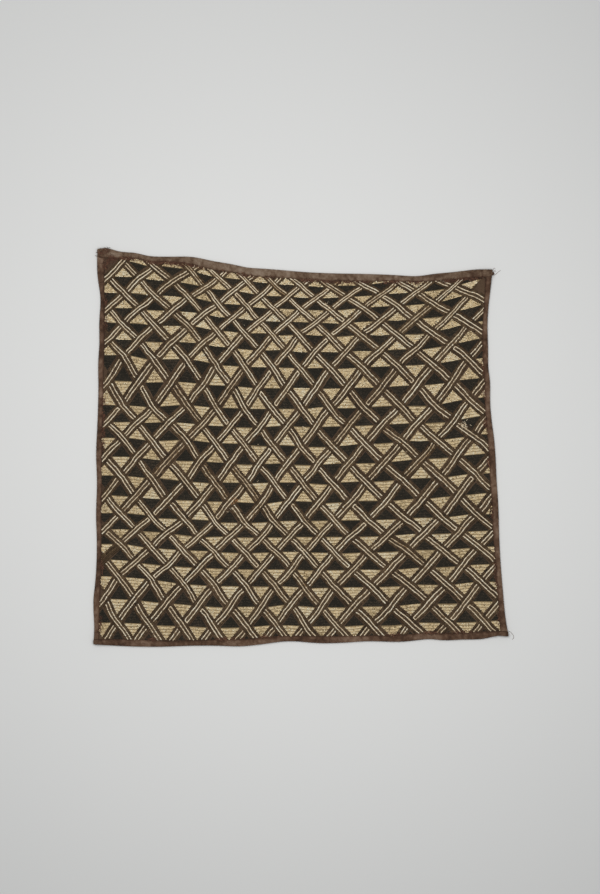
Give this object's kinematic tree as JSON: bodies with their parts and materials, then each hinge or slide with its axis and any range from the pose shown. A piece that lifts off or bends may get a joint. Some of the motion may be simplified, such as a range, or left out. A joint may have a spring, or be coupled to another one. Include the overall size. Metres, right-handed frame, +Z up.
{
  "type": "kuba raffia cloth",
  "caption": "Flat embroidered raffia cloth, an uneven rectangle with interlaced diagonal bands, cut-pile lozenges and brown strips folded over its edges.",
  "frame": {"origin": "under the middle of the cloth's bounding box, on the surface it lies on", "axes": "+Z up, out of the worked face; +X along the longer way, to the right of the worked face; +Y towards its top edge"},
  "size_m": [0.5892, 0.566, 0.0079],
  "materials": {
    "worked_raffia": "matt",
    "brown_binding": "matt",
    "pale_raffia": "matt",
    "dark_raffia": "matt",
    "black_pile": "matt"
  },
  "bodies": {
    "root": {"ground_cloth": "worked_raffia", "binding_left": "brown_binding", "binding_right": "brown_binding", "binding_top": "brown_binding", "binding_bottom": "brown_binding"}
  },
  "joints": []
}
